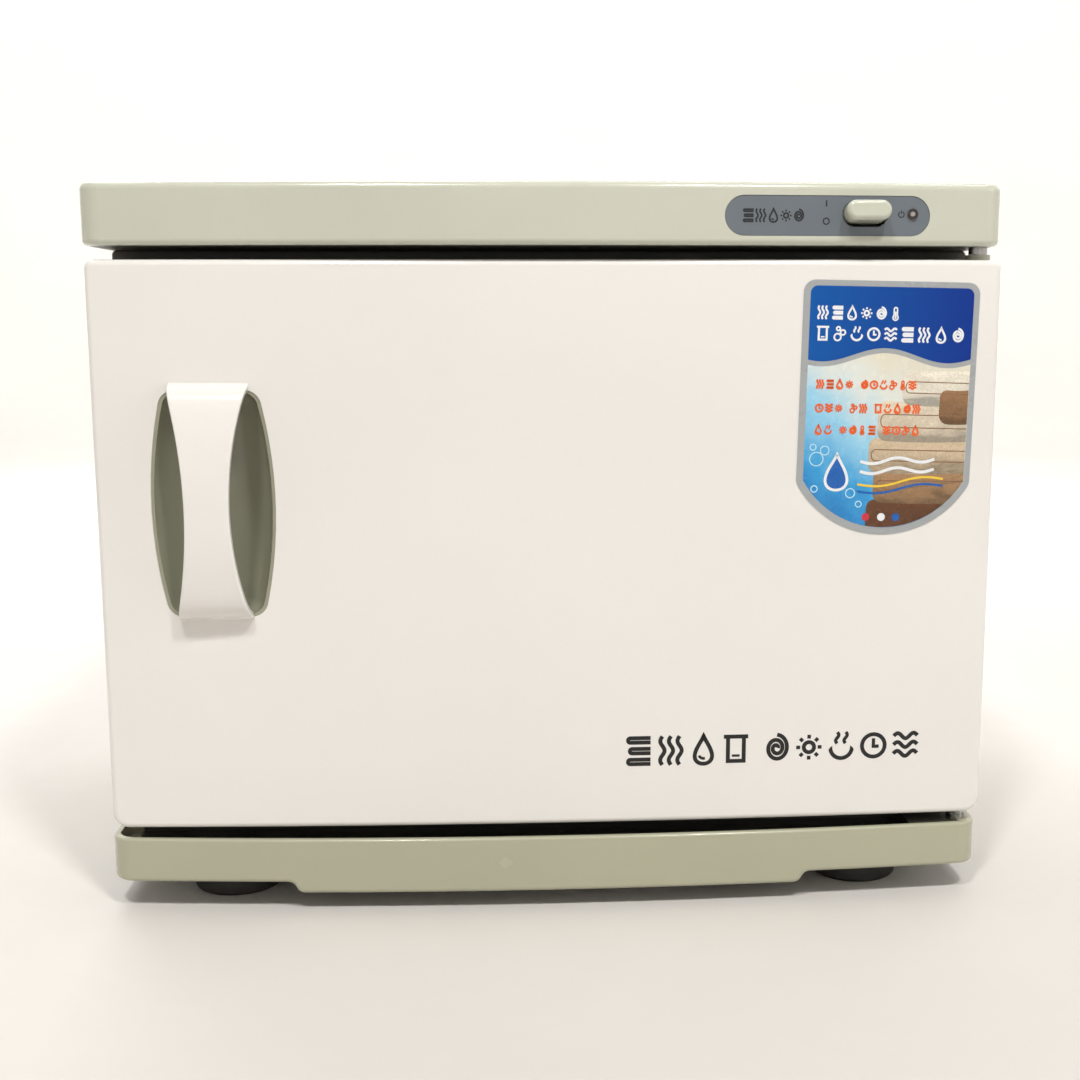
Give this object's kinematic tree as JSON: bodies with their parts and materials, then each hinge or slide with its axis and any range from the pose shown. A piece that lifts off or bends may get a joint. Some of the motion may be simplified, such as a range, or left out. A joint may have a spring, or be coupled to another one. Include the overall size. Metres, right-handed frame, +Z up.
{
  "type": "hot towel cabinet",
  "caption": "Countertop hot towel cabinet: heated chamber with wire racks behind a bowed side-hinged door with a strap handle.",
  "frame": {"origin": "middle of the overall box on the surface the feet stand on", "axes": "+Z up, -Y towards the user (the front), +X to the user's right, where the door hinges are"},
  "size_m": [0.45, 0.332, 0.3645],
  "materials": {
    "cap_plastic": "gloss",
    "base_plastic": "gloss",
    "door_plastic": "gloss",
    "strap_plastic": "gloss",
    "recess_plastic": "gloss",
    "ivory_plastic": "satin",
    "slate_label": "satin",
    "black_plastic": "satin",
    "white_plastic": "satin",
    "grey_plastic": "satin",
    "painted_sheet": "satin",
    "zinc_sheet": "satin",
    "screw_steel": "polished",
    "stainless_wire": "polished",
    "chamber_aluminium": "satin",
    "mineral_wool": "matte",
    "black_rubber": "matte",
    "gasket_rubber": "matte",
    "pink_lens": "gloss",
    "lamp_glass": "gloss",
    "brass": "polished",
    "printed_film": "gloss",
    "wire_pvc": "satin"
  },
  "bodies": {
    "cabinet": {"top_cover": "cap_plastic", "cap_tray": "grey_plastic", "cap_screws": "screw_steel", "control_label": "slate_label", "switch_body": "black_plastic", "switch_pivot": "screw_steel", "indicator_bezel": "black_plastic", "indicator_lens": "pink_lens", "indicator_lamp": "lamp_glass", "base_moulding": "base_plastic", "bottom_plate": "zinc_sheet", "bottom_plate_screws": "screw_steel", "body_screws": "screw_steel", "foot_screws": "screw_steel", "feet": "black_rubber", "outer_shell": "painted_sheet", "rear_panel": "painted_sheet", "rear_screws": "screw_steel", "front_frame": "grey_plastic", "inner_chamber": "chamber_aluminium", "insulation_blankets": "mineral_wool", "rack_rails": "stainless_wire", "rail_rivets": "screw_steel", "lower_rack": "stainless_wire", "upper_rack": "stainless_wire", "drip_tray": "chamber_aluminium", "catch_magnet": "black_plastic", "upper_hinge_bracket": "zinc_sheet", "lower_hinge_bracket": "zinc_sheet", "upper_hinge_pin": "screw_steel", "lower_hinge_pin": "screw_steel", "upper_hinge_washer": "ivory_plastic", "lower_hinge_washer": "ivory_plastic", "hinge_screws": "screw_steel", "heater_plate": "chamber_aluminium", "heater_clamps": "zinc_sheet", "thermostat": "black_plastic", "thermal_fuse": "zinc_sheet", "terminal_block": "white_plastic", "terminal_screws": "brass", "power_inlet": "black_plastic", "inlet_pins": "brass", "inlet_screws": "screw_steel", "fuse_holder": "black_plastic", "earth_stud": "brass", "wire_grommet": "black_rubber", "wiring": "wire_pvc"},
    "door": {"door_outer_shell": "door_plastic", "door_inner_panel": "white_plastic", "door_insulation": "mineral_wool", "door_panel_screws": "screw_steel", "handle_recess_cup": "recess_plastic", "handle_strap": "strap_plastic", "door_gasket": "gasket_rubber", "catch_plate": "zinc_sheet", "catch_plate_screws": "screw_steel", "door_sticker": "printed_film", "upper_hinge_bush": "ivory_plastic", "lower_hinge_bush": "ivory_plastic"},
    "rocker": {"switch_rocker": "ivory_plastic"}
  },
  "joints": [
    {"name": "door_hinge", "type": "hinge", "parent": "cabinet", "child": "door", "pos_m": [0.217, -0.132, 0.1855], "axis": [0, 0, 1], "range_deg": [0, 115]},
    {"name": "switch_rocker_pivot", "type": "hinge", "parent": "cabinet", "child": "rocker", "pos_m": [0.1542, -0.1468, 0.3496], "axis": [1, 0, 0], "range_deg": [0, 13]}
  ]
}
